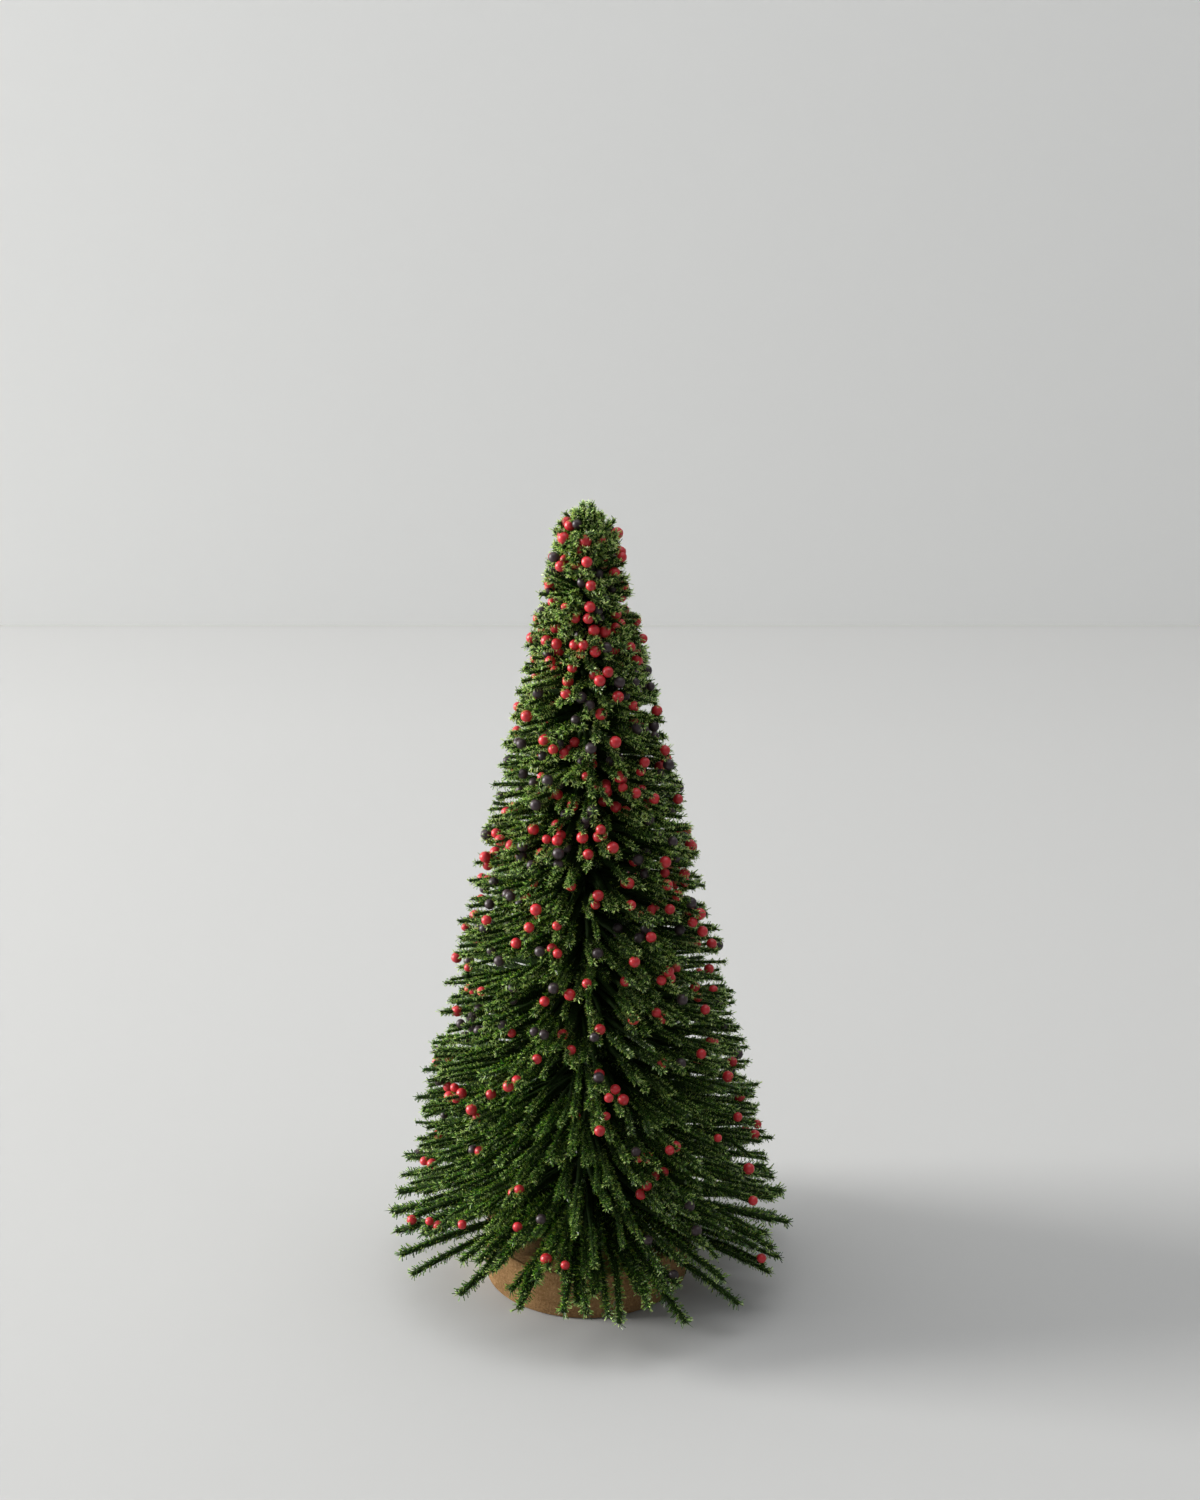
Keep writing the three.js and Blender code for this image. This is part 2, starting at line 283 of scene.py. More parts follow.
def skirt_at(height):
    """How much of the skirt's spread a height has, from 1 at the lowest strands to 0 above the skirt."""
    return max(0, 1 - (height - STRIP_BOTTOM) / (SKIRT_SHARE * STRIP_LENGTH))


def crown_at(height):
    """How much of the crown's rise a height has, from 0 under the crown to 1 at the highest strands."""
    return max(0, 1 - (STRIP_TOP - height) / (CROWN_SHARE * STRIP_LENGTH))


def elevation_at(height):
    """How steeply strands rise from the stem at a height, in degrees."""
    skirt_turn = (SKIRT_ELEVATION - CONE_ELEVATION) * skirt_at(height)
    crown_turn = (CROWN_ELEVATION - CONE_ELEVATION) * crown_at(height) ** 2
    return CONE_ELEVATION + skirt_turn + crown_turn


def droop_at(height):
    """How far a strand's tip hangs down, as a share of its length."""
    return DROOP_SHARE + (SKIRT_DROOP_SHARE - DROOP_SHARE) * skirt_at(height)


def tier_span(tier, gap):
    """Where the strands of a tier begin, a gap above its floor, and where they end."""
    return STRIP_BOTTOM + TIER_HEIGHT * tier + gap, STRIP_BOTTOM + TIER_HEIGHT * (tier + 1)


def trimmed_length(root_radius, root_height, lift, droop):
    """The length that brings a strand's drooping tip to the trimmed cone, or to the ball on its top."""
    run = math.cos(lift)
    rise = math.sin(lift) - droop
    to_cone = (CONE_SLOPE * (APEX_HEIGHT - root_height) - root_radius) / (run + CONE_SLOPE * rise)
    if root_height + to_cone * rise < CROWN_HEIGHT:
        return to_cone
    below = root_height - CROWN_HEIGHT
    scale = run * run + rise * rise
    half = (root_radius * run + below * rise) / scale
    rest = (root_radius**2 + below**2 - CROWN_RADIUS**2) / scale
    return math.sqrt(half * half - rest) - half


class Strand:
    """One yarn strand, from the stem to its trimmed end."""

    def __init__(self, tier, root_radius, root_height, azimuth, elevation, length_factor):
        lift = math.radians(elevation)
        out = Vector((math.cos(azimuth), math.sin(azimuth), 0))
        self.tier = tier
        self.droop = droop_at(root_height)
        self.length = trimmed_length(root_radius, root_height, lift, self.droop) * length_factor
        self.heading = out * math.cos(lift) + UP * math.sin(lift)
        self.root = out * root_radius + UP * root_height
        self.stem_share = -root_radius / self.length
        self.side = UP.cross(out)
        self.sway = 0
        self.wave = 0
        self.hook = 0
        self.tone = 0
        self.girth = 1
        self.hidden = False

    def point(self, share):
        """The place at a share of the strand's length."""
        reach = self.length * share
        sag = self.droop * reach * share
        waved = WAVE_REACH * math.sin(WAVE_ANGLE * share + self.wave) * share if self.wave else 0
        bend = self.sway * reach * share + waved
        hooked = max(0, (share - HOOK_START_SHARE) / (1 - HOOK_START_SHARE))
        return self.root + self.heading * reach + self.side * bend - UP * (sag + self.hook * hooked**2)

    def along(self, share):
        """Which way the strand runs at a share of its length."""
        step = 0.01
        return (self.point(share + step) - self.point(share - step)).normalized()

    def bare_share(self):
        """Where the fibres begin: all but the lowest strands carry them only near their ends."""
        if self.root.z < OPEN_UNDER_HEIGHT and not self.hidden:
            return 0
        return max(0, 1 - FIBRED_DEPTHS[self.tier] / self.length)


class BerryTuft(Strand):
    """A tuft of yarn from a strand to a berry that stands off it."""

    def __init__(self, strand, foot, berry):
        self.tier = strand.tier
        self.root = foot
        self.reach = (berry.centre - foot) * TUFT_SHARE
        self.length = self.reach.length
        self.stem_share = 0
        self.tone = strand.tone
        self.girth = 1
        self.hidden = False

    def point(self, share):
        return self.root + self.reach * share

    def bare_share(self):
        return 0


def solid_strands():
    """The strands of the solid model, in its order."""
    strands = []
    for tier, pairs in enumerate(TIER_PAIRS):
        floor, ceiling = tier_span(tier, SEAT_GAP if tier > 0 else 0)
        rise = (ceiling - floor) / pairs
        steps = math.ceil(twist_at(rise) / LARGEST_STRIP_TURN)
        for pair in range(pairs):
            height = floor + rise * (pair + 0.5 / steps)
            for edge in (0, 1):
                order = len(strands)
                turned_by = math.radians(AZIMUTH_SCATTER) * scatter(order, 1)
                azimuth = twist_at(height) + edge * math.pi + turned_by
                elevation = elevation_at(height) + ELEVATION_SCATTER * scatter(order, 2)
                length_factor = 1 + LENGTH_SCATTER_SHARE * scatter(order, 3)
                strands.append(Strand(tier, STRIP_REACH, height, azimuth, elevation, length_factor))
    last = len(TIER_NODES) - 1
    for edge in (0, 1):
        azimuth = twist_at(STRIP_TOP) + edge * math.pi
        length_factor = 1 + LENGTH_SCATTER_SHARE * scatter(len(strands), 3)
        strands.append(Strand(last, STRIP_REACH / 2, STRIP_TOP, azimuth, TIP_ELEVATION, length_factor))
    return strands


def loose_strand(tier, root_radius, height, azimuth, elevation, chance):
    """A strand with a bend and a wave of its own."""
    length_factor = 1 + chance.uniform(-LENGTH_LOSS_SHARE, LENGTH_GAIN_SHARE) + LEAN_SHARE * math.cos(azimuth)
    strand = Strand(tier, root_radius, height, azimuth, elevation, length_factor)
    strand.sway = chance.gauss(0, SWAY_SHARE)
    strand.wave = chance.uniform(LEAST_WAVE, FULL_TURN)
    spare = strand.point(1).z - LOWEST_TIP * chance.uniform(1, 2)
    if spare < 0:
        strand.droop += spare / strand.length
    elif spare > HOOK_DROP and tier == 0 and chance.random() < HOOKED_SHARE:
        strand.hook = HOOK_DROP * chance.uniform(*HOOK_DROP_SHARES)
    return strand


def extra_strands(chance):
    """The strands between those of the solid model, which lie less evenly."""
    strands = []
    for tier, count in enumerate(EXTRA_STRANDS):
        floor, ceiling = tier_span(tier, EXTRA_START if tier == 0 else 0)
        for step in range(count):
            height = floor + (ceiling - floor) * (step + chance.random()) / count
            azimuth = twist_at(height) + step * math.pi + chance.gauss(0, math.radians(EXTRA_SWING[tier]))
            elevation = elevation_at(height) + chance.gauss(0, EXTRA_LIFT[tier])
            strands.append(loose_strand(tier, STRIP_REACH, height, azimuth, elevation, chance))
    return strands


def low_strands(chance):
    """More strands low on the skirt, one by one and in clumps."""
    strands = []
    for step in range(COMPANIONS):
        height = STRIP_BOTTOM + COMPANION_HEIGHT * chance.random()
        azimuth = twist_at(height) + step * math.pi + math.radians(AZIMUTH_SCATTER) * chance.gauss(0, 1)
        strands.append(loose_strand(0, STRIP_REACH, height, azimuth, elevation_at(height), chance))
    for direction, members in CLUMPS:
        for step in range(members):
            azimuth = math.radians(direction + chance.gauss(0, CLUMP_SCATTER))
            height = STRIP_BOTTOM + (azimuth - twist_at(STRIP_BOTTOM)) % math.pi / twist_at(1)
            strand = loose_strand(0, STRIP_REACH, height, azimuth, elevation_at(height) + step, chance)
            strand.length *= CLUMP_SHARE
            strand.sway *= CLUMP_SHARE / 2
            strand.hook = 0
            strands.append(strand)
    return strands


def inner_strands(chance):
    """Short strands inside the tree, which close it to the eye."""
    strands = []

    def add(tier, height, step, elevation, shares):
        strand = loose_strand(tier, STRIP_REACH, height, step * GOLDEN_ANGLE, elevation, chance)
        strand.length *= chance.uniform(*shares)
        strand.hidden = True
        strands.append(strand)

    for step in range(UNDERGROWTH):
        height = STRIP_BOTTOM + UNDERGROWTH_RISE * chance.random()
        add(0, height, step, chance.uniform(*UNDERGROWTH_ELEVATIONS), UNDERGROWTH_SHARES)
    for tier, count in enumerate(INNER_STRANDS):
        for step in range(count):
            height = STRIP_BOTTOM + TIER_HEIGHT * (tier + (step + chance.random()) / count)
            elevation = elevation_at(height) + chance.gauss(0, EXTRA_LIFT[tier])
            add(tier, height, step, elevation, INNER_SHARES)
    return strands


def tip_strands(chance):
    """The strands that round off the tip."""
    strands = []
    last = len(TIER_NODES) - 1
    for step in range(TIP_STRANDS):
        height = STRIP_TOP - TIP_STRAND_DROP * chance.random()
        elevation = STEEPEST_TIP_STRAND - TIP_STRAND_SPREAD * chance.random() ** TIP_STRAND_POWER
        strand = loose_strand(last, STRIP_REACH / 2, height, step * GOLDEN_ANGLE, elevation, chance)
        strand.length *= 1 - TIP_SLIMMING_SHARE * math.sin(math.radians(2 * elevation))
        strands.append(strand)
    return strands


def grown_strands():
    """Every yarn strand of the tree, alike in each call."""
    chance = random.Random(STRAND_SEED)
    strands = solid_strands()
    for more in (extra_strands, low_strands, inner_strands, tip_strands):
        strands += more(chance)
    for strand in strands:
        # Hidden strands keep paleness 0, the deepest green: painted shade inside the tree.
        if not strand.hidden:
            # Strands grow paler with height: painted light on the upper tree and the crown, over a random
            # scatter.
            paleness = STRAND_PALENESS + CROWN_PAINTED_LIGHT * strand.root.z / TREE_HEIGHT
            strand.tone = min(PALEST_STRAND, max(0, chance.gauss(paleness, PALENESS_SCATTER)))
        low_girth = LOW_GIRTH if strand.root.z < OPEN_UNDER_HEIGHT else 1
        strand.girth = chance.uniform(*GIRTH_SHARES) * low_girth
    return strands


class Recipe:
    """Writes a node tree. A socket is given by its name or number, and takes a value or another socket."""

    def __init__(self, tree):
        self.tree = tree

    def fill(self, node, sockets):
        for key, value in sockets.items():
            if isinstance(value, bpy.types.NodeSocket):
                self.tree.links.new(value, node.inputs[key])
            else:
                node.inputs[key].default_value = value

    def add(self, kind, sockets=None, **settings):
        node = self.tree.nodes.new(kind)
        for name, value in settings.items():
            setattr(node, name, value)
        self.fill(node, sockets or {})
        return node

    def math(self, operation, first, second=0.0):
        return self.add("ShaderNodeMath", {0: first, 1: second}, operation=operation).outputs[0]

    def vector(self, operation, first, second=(0, 0, 0)):
        return self.add("ShaderNodeVectorMath", {0: first, 1: second}, operation=operation).outputs[0]

    def scaled(self, vector, factor):
        node = self.add("ShaderNodeVectorMath", {0: vector, "Scale": factor}, operation="SCALE")
        return node.outputs[0]

    def joined(self, x, y, z=0.0):
        return self.add("ShaderNodeCombineXYZ", {0: x, 1: y, 2: z}).outputs[0]

    def part(self, vector, number):
        return self.add("ShaderNodeSeparateXYZ", {0: vector}).outputs[number]

    def ranged(self, value, low, high, to_low=0.0, to_high=1.0):
        sockets = {0: value, 1: low, 2: high, 3: to_low, 4: to_high}
        return self.add("ShaderNodeMapRange", sockets).outputs[0]

    def mixed(self, factor, first, second, blend="MIX"):
        sockets = {0: factor, 6: opaque(first), 7: opaque(second)}
        return self.add("ShaderNodeMix", sockets, data_type="RGBA", blend_type=blend).outputs[2]

    def object_place(self):
        return self.add("ShaderNodeTexCoord").outputs["Object"]

    def map_place(self):
        return self.add("ShaderNodeUVMap", uv_map=BAKE_MAP).outputs[0]

    def noise(self, place, scale, detail, roughness=0.5):
        sockets = {"Vector": place, "Scale": scale, "Detail": detail, "Roughness": roughness}
        return self.add("ShaderNodeTexNoise", sockets).outputs[0]

    def bump(self, height, strength, distance):
        sockets = {"Strength": strength, "Distance": distance, "Height": height}
        return self.add("ShaderNodeBump", sockets).outputs[0]

    def dice(self, cell):
        """Random numbers for each swatch of a map."""
        return self.add("ShaderNodeTexWhiteNoise", {"Vector": cell}, noise_dimensions="2D").outputs

    def chance(self, low, high, seed):
        """A random number for each point of a geometry."""
        sockets = {2: low, 3: high, "Seed": seed}
        return self.add("FunctionNodeRandomValue", sockets, data_type="FLOAT").outputs[1]

    def varied(self, size, shares, seed):
        """A size times a random share, for each point of a geometry."""
        return self.chance(size * shares[0], size * shares[1], seed)

    def aimed(self, axis, tilt, roll):
        """The rotation that lays an upright fibre along an axis, rolls it about that and tilts it away."""
        turn = self.add("FunctionNodeAlignRotationToVector", {"Vector": axis}, axis="Z").outputs[0]
        for angles in (self.joined(0.0, 0.0, roll), self.joined(tilt, 0.0)):
            own = self.add("FunctionNodeEulerToRotation", {0: angles}).outputs[0]
            sockets = {0: turn, 1: own}
            turn = self.add("FunctionNodeRotateRotation", sockets, rotation_space="LOCAL").outputs[0]
        return turn

    def read(self, name):
        return self.add("GeometryNodeInputNamedAttribute", {"Name": name}, data_type="FLOAT").outputs[0]

    def store(self, geometry, name, value, kind, domain):
        sockets = {"Geometry": geometry, "Name": name, "Value": value}
        node = self.add("GeometryNodeStoreNamedAttribute", sockets, data_type=kind, domain=domain)
        return node.outputs[0]

    def without(self, geometry, *names):
        """The geometry without attributes that only the recipe needed."""
        for name in names:
            sockets = {"Geometry": geometry, "Name": name}
            geometry = self.add("GeometryNodeRemoveAttribute", sockets).outputs[0]
        return geometry

    def inside_swatch(self, cell, share):
        """A place in the shared map, from the number of its cell and a share of the cell."""
        inside = self.ranged(share, 0, 1, SWATCH_MARGIN_SHARE, 1 - SWATCH_MARGIN_SHARE)
        return self.math("DIVIDE", self.math("ADD", cell, inside), FIBRE_SWATCHES)


def opaque(colour):
    """A colour with its alpha, or a socket as it is."""
    return colour if isinstance(colour, bpy.types.NodeSocket) else (*colour, 1)


def shape_recipe(name):
    """An empty geometry recipe with its way in and out."""
    tree = bpy.data.node_groups.new(name, "GeometryNodeTree")
    for way in ("INPUT", "OUTPUT"):
        tree.interface.new_socket("Geometry", in_out=way, socket_type="NodeSocketGeometry")
    recipe = Recipe(tree)
    way_in = recipe.add("NodeGroupInput").outputs[0]
    way_out = recipe.add("NodeGroupOutput").inputs[0]
    return recipe, way_in, way_out


def dimmed(colour, share):
    return tuple(part * share for part in colour)


def followed(piece, recipe):
    """Gives the piece the mesh that a geometry recipe makes of it."""
    modifier = piece.modifiers.new("shape", "NODES")
    modifier.node_group = recipe.tree
    depsgraph = bpy.context.evaluated_depsgraph_get()
    mesh = bpy.data.meshes.new_from_object(
        piece.evaluated_get(depsgraph), preserve_all_data_layers=True, depsgraph=depsgraph
    )
    piece.modifiers.clear()
    rough = piece.data
    piece.data = mesh
    bpy.data.meshes.remove(rough)
    mesh.name = piece.name


def new_piece(name, bm, material=None, slot=None):
    """A piece of the tree from a bmesh."""
    mesh = bpy.data.meshes.new(name)
    bm.to_mesh(mesh)
    bm.free()
    piece = bpy.data.objects.new(name, mesh)
    bpy.context.scene.collection.objects.link(piece)
    if material:
        mesh.materials.append(material)
    if slot:
        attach(piece, "root")
    return piece


def dress(piece, material):
    """Replaces every material of a piece."""
    piece.data.materials.clear()
    piece.data.materials.append(material)


def shader(name):
    """A material with its recipe and its surface shader."""
    material = bpy.data.materials.new(name)
    material.use_nodes = True
    recipe = Recipe(material.node_tree)
    return material, recipe, material.node_tree.nodes["Principled BSDF"]


# Yarn

def strand_lines(strands):
    """The strands as lines of vertices, with what the recipes read of each."""
    bm = bmesh.new()
    layers = {name: bm.verts.layers.float.new(name) for name in STRAND_LAYERS}

    def place(vert, strand, share):
        vert.co = strand.point(share)
        vert[layers["along"]] = max(0, share)
        vert[layers["left"]] = strand.length * (1 - share)
        vert[layers["tone"]] = strand.tone
        vert[layers["bare"]] = strand.bare_share()
        vert[layers["girth"]] = strand.girth

    ends = [bm.verts.new() for strand in strands]
    for strand, vert in zip(strands, ends):
        place(vert, strand, strand.stem_share)
    for step in range(PATH_STEPS + 1):
        ends = bmesh.ops.extrude_vert_indiv(bm, verts=ends)["verts"]
        for strand, vert in zip(strands, ends):
            place(vert, strand, step / PATH_STEPS)
    return bm


def single_fibre():
    """One fibre a metre long that stands on the origin: an edge at its foot, and one across it at its tip."""
    bm = bmesh.new()
    across = bm.verts.layers.float.new("across")
    up = bm.verts.layers.float.new("up")
    corners = (
        ((-1, 0, 0), 0),
        ((1, 0, 0), 1),
        ((0, -FIBRE_TIP_SHARE, 1), 0.2),
        ((0, FIBRE_TIP_SHARE, 1), 0.8),
    )
    for place, share in corners:
        vert = bm.verts.new(place)
        vert[across] = share
        vert[up] = place[2]
    bmesh.ops.convex_hull(bm, input=bm.verts)
    return new_piece("single_fibre", bm)


def planted(recipe, fibre, points, chosen, turn, width, length, column):
    """Sets a fibre on each chosen point, and maps it to a swatch in a column of the shared map."""
    sockets = {
        "Points": points,
        "Selection": chosen,
        "Instance": recipe.add("GeometryNodeObjectInfo", {"Object": fibre}).outputs["Geometry"],
        "Rotation": turn,
        "Scale": recipe.joined(width, width, length),
    }
    fibres = recipe.add("GeometryNodeInstanceOnPoints", sockets).outputs[0]
    row = recipe.chance(0, SWATCH_END, 6)
    for name, value in (("column", column), ("row", row)):
        fibres = recipe.store(fibres, name, recipe.math("FLOOR", value), "FLOAT", "INSTANCE")
    mesh = recipe.add("GeometryNodeRealizeInstances", {0: fibres}).outputs[0]
    place = [
        recipe.inside_swatch(recipe.read(cell), recipe.read(share))
        for cell, share in (("column", "across"), ("row", "up"))
    ]
    mesh = recipe.store(mesh, BAKE_MAP, recipe.joined(*place), "FLOAT2", "CORNER")
    return recipe.without(mesh, "column", "row", "across", "up")


def fibre_recipe(fibre, yarn):
    """Sets fibres all round each strand, swept towards its tip, with a star of them on the tip."""
    recipe, way_in, way_out = shape_recipe("yarn fibres")
    line = recipe.add("GeometryNodeMeshToCurve", {0: way_in}).outputs[0]
    sockets = {"Curve": line, "Length": MM / yarn.fibres_per_mm}
    points = recipe.add("GeometryNodeResampleCurve", sockets, mode="LENGTH").outputs[0]
    left = recipe.read("left")
    girth = recipe.read("girth")
    past_bare = recipe.math("SUBTRACT", recipe.read("along"), recipe.read("bare"))
    chosen = recipe.math("GREATER_THAN", past_bare, recipe.chance(0, FIBRE_FADE_SHARE, 1))

    star = recipe.ranged(left, STAR_REACH, 0)
    low_tilt = recipe.ranged(star, 0, 1, FIBRE_TILTS[0], STAR_TILTS[0])
    high_tilt = recipe.ranged(star, 0, 1, FIBRE_TILTS[1], STAR_TILTS[1])
    tangent = recipe.add("GeometryNodeInputTangent").outputs[0]
    turn = recipe.aimed(tangent, recipe.chance(low_tilt, high_tilt, 2), recipe.chance(0, FULL_TURN, 3))
    stoutness = recipe.math("POWER", girth, GIRTH_POWER)
    width = recipe.math("MULTIPLY", recipe.varied(yarn.fibre_width, FIBRE_WIDTH_SHARES, 4), stoutness)
    length = recipe.math("MULTIPLY", recipe.varied(yarn.fibre_length, FIBRE_LENGTH_SHARES, 5), girth)

    # Fibres near a strand's tip turn paler at random: a painted highlight on the tips.
    painted_tip_highlight = recipe.math("MULTIPLY", recipe.ranged(left, TIP_HIGHLIGHT_REACH, 0), recipe.chance(0, TIP_PAINTED_HIGHLIGHT, 8))
    own = recipe.chance(-FIBRE_PALENESS_SCATTER, FIBRE_PALENESS_SCATTER, 9)
    paleness = recipe.math("ADD", recipe.math("ADD", recipe.read("tone"), painted_tip_highlight), own)
    column = recipe.ranged(paleness, 0, 1, 0, SWATCH_END)
    mesh = planted(recipe, fibre, points, chosen, turn, width, length, column)
    recipe.tree.links.new(recipe.without(mesh, *STRAND_LAYERS), way_out)
    return recipe


def core_recipe(yarn):
    """Makes each strand's twisted heart, a tapered closed thread."""
    recipe, way_in, way_out = shape_recipe("strand cores")
    line = recipe.add("GeometryNodeMeshToCurve", {0: way_in}).outputs[0]
    along = recipe.read("along")
    before_fibres = recipe.math("SUBTRACT", recipe.read("bare"), along)
    heart = recipe.ranged(along, 0, 1, yarn.core_diameter / 2, yarn.core_diameter * CORE_TIP_SHARE)
    thick = recipe.ranged(before_fibres, 0, CORE_FADE_SHARE, heart, yarn.hidden_diameter / 2)
    radius = recipe.math("MULTIPLY", thick, recipe.read("girth"))
    line = recipe.add("GeometryNodeSetCurveRadius", {"Curve": line, "Radius": radius}).outputs[0]
    sockets = {"Resolution": CORE_SIDES, "Radius": 1.0}
    ring = recipe.add("GeometryNodeCurvePrimitiveCircle", sockets).outputs[0]
    around = recipe.add("GeometryNodeSplineParameter").outputs["Factor"]
    ring = recipe.store(ring, "across", around, "FLOAT", "POINT")
    tube = recipe.add("GeometryNodeCurveToMesh", {"Curve": line, "Profile Curve": ring, "Fill Caps": True})
    if "Scale" in tube.inputs:
        recipe.fill(tube, {"Scale": recipe.add("GeometryNodeInputRadius").outputs[0]})
    column = recipe.math("FLOOR", recipe.math("MULTIPLY", recipe.read("tone"), FIBRE_SWATCHES))
    place = recipe.joined(recipe.inside_swatch(column, recipe.read("across")), recipe.read("along"))
    mesh = recipe.store(tube.outputs[0], BAKE_MAP, place, "FLOAT2", "CORNER")
    mesh = recipe.add("GeometryNodeSetShadeSmooth", {0: mesh}).outputs[0]
    recipe.tree.links.new(recipe.without(mesh, "across", *STRAND_LAYERS), way_out)
    return recipe


def fibre_material(yarn):
    """Fine green fibres: each its own green, with painted shade at its foot and a painted highlight towards
    its tip.
    """
    material, recipe, surface = shader("green_yarn_fibres")
    place = recipe.scaled(recipe.map_place(), FIBRE_SWATCHES)
    cell = recipe.vector("FLOOR", place)
    up = recipe.part(recipe.vector("FRACTION", place), 1)
    column = recipe.part(cell, 0)
    dice = recipe.add("ShaderNodeSeparateColor", {0: recipe.dice(cell)["Color"]}).outputs
    middle = FIBRE_SWATCHES / 2
    body = recipe.mixed(recipe.ranged(column, 0, middle), yarn.deep_green, yarn.mid_green)
    body = recipe.mixed(recipe.ranged(column, middle, FIBRE_SWATCHES), body, yarn.pale_green)
    body = recipe.mixed(recipe.ranged(dice[1], 0.86, 0.94, 0, 0.7), body, yarn.yellow_green)
    body = recipe.mixed(recipe.ranged(dice[2], 0.9, 0.97, 0, 0.8), body, yarn.pale_green)
    # Shade factor: painted shade at a fibre's foot, down to 0.05, rising to a painted highlight of 1.7 at its
    # tip.
    shade = recipe.ranged(up, 0.1, 1, 0.05, 1.7)
    recipe.fill(surface, {
        "Base Color": recipe.mixed(1.0, body, recipe.joined(shade, shade, shade), "MULTIPLY"),
        "Roughness": 0.4,
        "Specular IOR Level": 0.65,
        "Subsurface Weight": 0.5,
        "Subsurface Scale": 0.4 * MM,
        "Subsurface Radius": (0.6, 1, 0.3),
    })
    return material


def core_material(yarn):
    """The plied thread under the fibres: dark green with light and dark turns along it, its greens dimmed as
    painted shade under the fibres.
    """
    material, recipe, surface = shader("green_yarn_core")
    stretched = recipe.vector("MULTIPLY", recipe.map_place(), (FIBRE_SWATCHES * 5, 120, 0))
    fleck = recipe.noise(stretched, 1, 2)
    # Both greens are dimmed to about two fifths: painted shade for the thread deep under the fibres.
    dark = dimmed(yarn.deep_green, 0.4)
    light = dimmed(yarn.mid_green, 0.42)
    recipe.fill(surface, {
        "Base Color": recipe.mixed(recipe.ranged(fleck, 0.35, 0.65), dark, light),
        "Roughness": 0.8,
        "Specular IOR Level": 0.2,
        "Normal": recipe.bump(fleck, 0.5, 0.2 * MM),
    })
    return material


def fibre_batches(strands, yarn):
    """The strands in batches of so many fibres that a piece stays light."""
    batches = [[]]
    room = FIBRES_A_PIECE
    for strand in strands:
        fibres = strand.length * (1 - strand.bare_share()) / MM * yarn.fibres_per_mm
        if fibres > room:
            batches.append([])
            room = FIBRES_A_PIECE
        batches[-1].append(strand)
        room -= fibres
    return batches


class TREE_OT_yarn(Operator):
    """Grow the yarn strands of the four tiers, with their fibres"""

    bl_idname = "brush_tree.yarn"
    bl_label = "Yarn Strands"

    def execute(self, context):
        yarn = context.scene.brush_tree_yarn
        strands = grown_strands()
        strands += berry_tufts(strands)
        fibre = single_fibre()
        fibres = fibre_recipe(fibre, yarn)
        cores = core_recipe(yarn)
        fibre_finish = fibre_material(yarn)
        core_finish = core_material(yarn)
        for tier, node in enumerate(TIER_NODES):
            mine = [strand for strand in strands if strand.tier == tier]
            name = node.replace("bristles", "strands")
            core = new_piece(name, strand_lines(mine), slot="green_yarn")
            followed(core, cores)
            dress(core, core_finish)
            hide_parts(node)
            for number, batch in enumerate(fibre_batches(mine, yarn), 1):
                fuzz = new_piece(f"{name}_fibres_{number}", strand_lines(batch), slot="green_yarn")
                followed(fuzz, fibres)
                dress(fuzz, fibre_finish)
                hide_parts(node)
        bpy.data.objects.remove(fibre)
        return {"FINISHED"}


# Berries

class Berry:
    """A round berry and the paint it wears."""

    def __init__(self, centre, radius, dark, node=None):
        self.centre = centre
        self.radius = radius
        self.dark = dark
        self.node = node

    def touches(self, other):
        return (self.centre - other.centre).length < BERRY_TOUCH_SHARE * (self.radius + other.radius)


def solid_berries():
    """The berries of the solid model, at their own places."""
    berries = []
    for node in frame["nodes"]:
        if "_berry_" in node:
            low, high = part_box(node)
            berries.append(Berry((low + high) / 2, (high.z - low.z) / 2, node.startswith("plum"), node))
    return berries


def seated_berry(strand, chance, sizes, dark):
    """A berry glued on a strand, near its end, mostly on its upper or outer side."""
    radius = sizes.diameter / 2 * chance.uniform(*BERRY_SIZE_SHARES)
    share = 1 - (abs(chance.gauss(0, BERRY_DEPTH)) - BERRY_OVERHANG) / strand.length
    along = strand.along(share)
    side = along.cross(UP).normalized()
    above = side.cross(along)
    roll = chance.gauss(0, BERRY_ROLL)
    towards = above * math.cos(roll) + side * math.sin(roll)
    return Berry(strand.point(share) + towards * (radius + sizes.seat), radius, dark)


def neighbour_berry(berry, chance, sizes):
    """A berry that touches another one, beside it on the tree's face."""
    radius = sizes.diameter / 2 * chance.uniform(*NEIGHBOUR_SIZE_SHARES)
    out = Vector((berry.centre.x, berry.centre.y, 0)).normalized()
    side = UP.cross(out)
    turn = chance.uniform(0, FULL_TURN)
    outward = out * chance.uniform(*NEIGHBOUR_OUT_SHARES)
    towards = (side * math.cos(turn) + UP * math.sin(turn) + outward).normalized()
    dark = berry.dark if chance.random() < LIKE_SHARE else not berry.dark
    return Berry(berry.centre + towards * (radius + berry.radius), radius, dark)


def trimmed_radius(height):
    """How far the trimmed tree reaches at a height."""
    if height > CROWN_HEIGHT:
        return math.sqrt(max(0, CROWN_RADIUS**2 - (height - CROWN_HEIGHT) ** 2))
    return CONE_SLOPE * (APEX_HEIGHT - height)


def yarn_places(strands):
    """A tree of places on the strands, to find what a berry touches."""
    places = KDTree(len(strands) * (YARN_PATH_STEPS + 1))
    for index, strand in enumerate(strands):
        for step in range(YARN_PATH_STEPS + 1):
            places.insert(strand.point(step / YARN_PATH_STEPS), index)
    places.balance()
    return places


